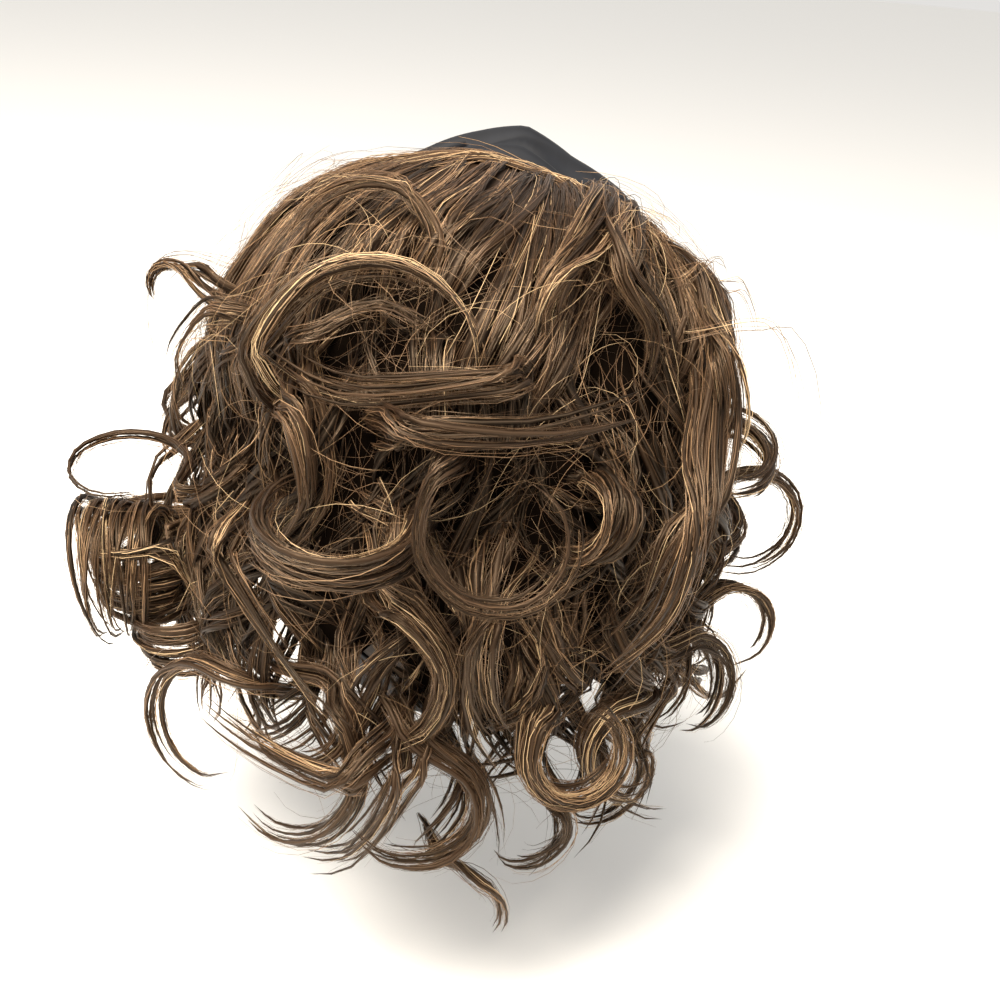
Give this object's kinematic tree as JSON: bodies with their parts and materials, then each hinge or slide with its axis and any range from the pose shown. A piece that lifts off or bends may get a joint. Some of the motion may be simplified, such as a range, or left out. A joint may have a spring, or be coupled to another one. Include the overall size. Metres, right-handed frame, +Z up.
{
  "type": "headband wig",
  "caption": "Short curly wig of brown hair on a net cap, with a wide loop of dark stretch cloth at its front edge that holds it on a head.",
  "frame": {"origin": "top of the head inside the cap, where the crown of the head touches it", "axes": "+Z up, the face looks along -Y, so +Y is the back of the head and +X is the wearer's left"},
  "size_m": [0.2839, 0.2325, 0.2633],
  "materials": {
    "band_cloth": "charcoal stretch cloth with a faint sheen",
    "cap_net": "dark net with sewn rows",
    "hair": "brown synthetic hair, soft gloss along the strands"
  },
  "bodies": {
    "root": {"headband": "band_cloth", "cap": "cap_net", "crown_hair": "hair", "back_curls": "hair", "nape_curls": "hair", "left_curls": "hair", "right_curls": "hair"}
  },
  "joints": []
}
